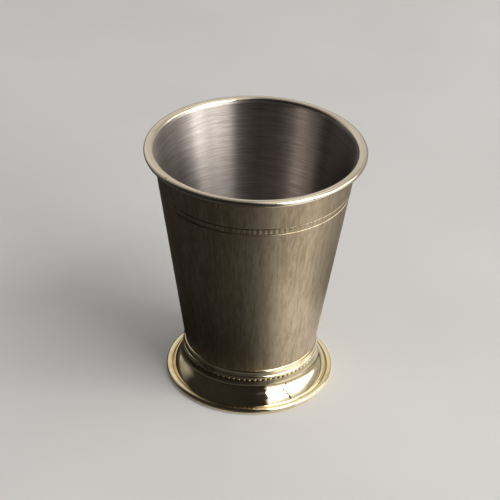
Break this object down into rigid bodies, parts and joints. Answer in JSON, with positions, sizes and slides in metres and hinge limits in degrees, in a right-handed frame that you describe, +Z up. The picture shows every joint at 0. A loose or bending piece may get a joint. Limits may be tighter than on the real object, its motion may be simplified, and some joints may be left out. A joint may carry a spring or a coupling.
{
  "type": "julep cup",
  "caption": "Tapered metal drinking cup on a low flared foot, with a rounded rim, a beaded band under the lip and a beaded ring above the foot.",
  "frame": {"origin": "middle of the flat ring that the foot stands on, at the table", "axes": "+Z up along the axis of the cup, out of its mouth; +X and +Y are level and alike"},
  "size_m": [0.09, 0.09, 0.108],
  "materials": {
    "antique_brass_brushed": "brushed, antique gold plate outside, brushed steel inside",
    "polished_gold_plate": "mirror polished pale gold plate",
    "solder": "dull silver solder"
  },
  "bodies": {
    "root": {"cup_shell": "antique_brass_brushed", "rim_ring": "polished_gold_plate", "foot_skirt": "polished_gold_plate", "bead_ring": "polished_gold_plate", "foot_edge_ring": "polished_gold_plate", "solder_fillet": "solder"}
  },
  "joints": []
}
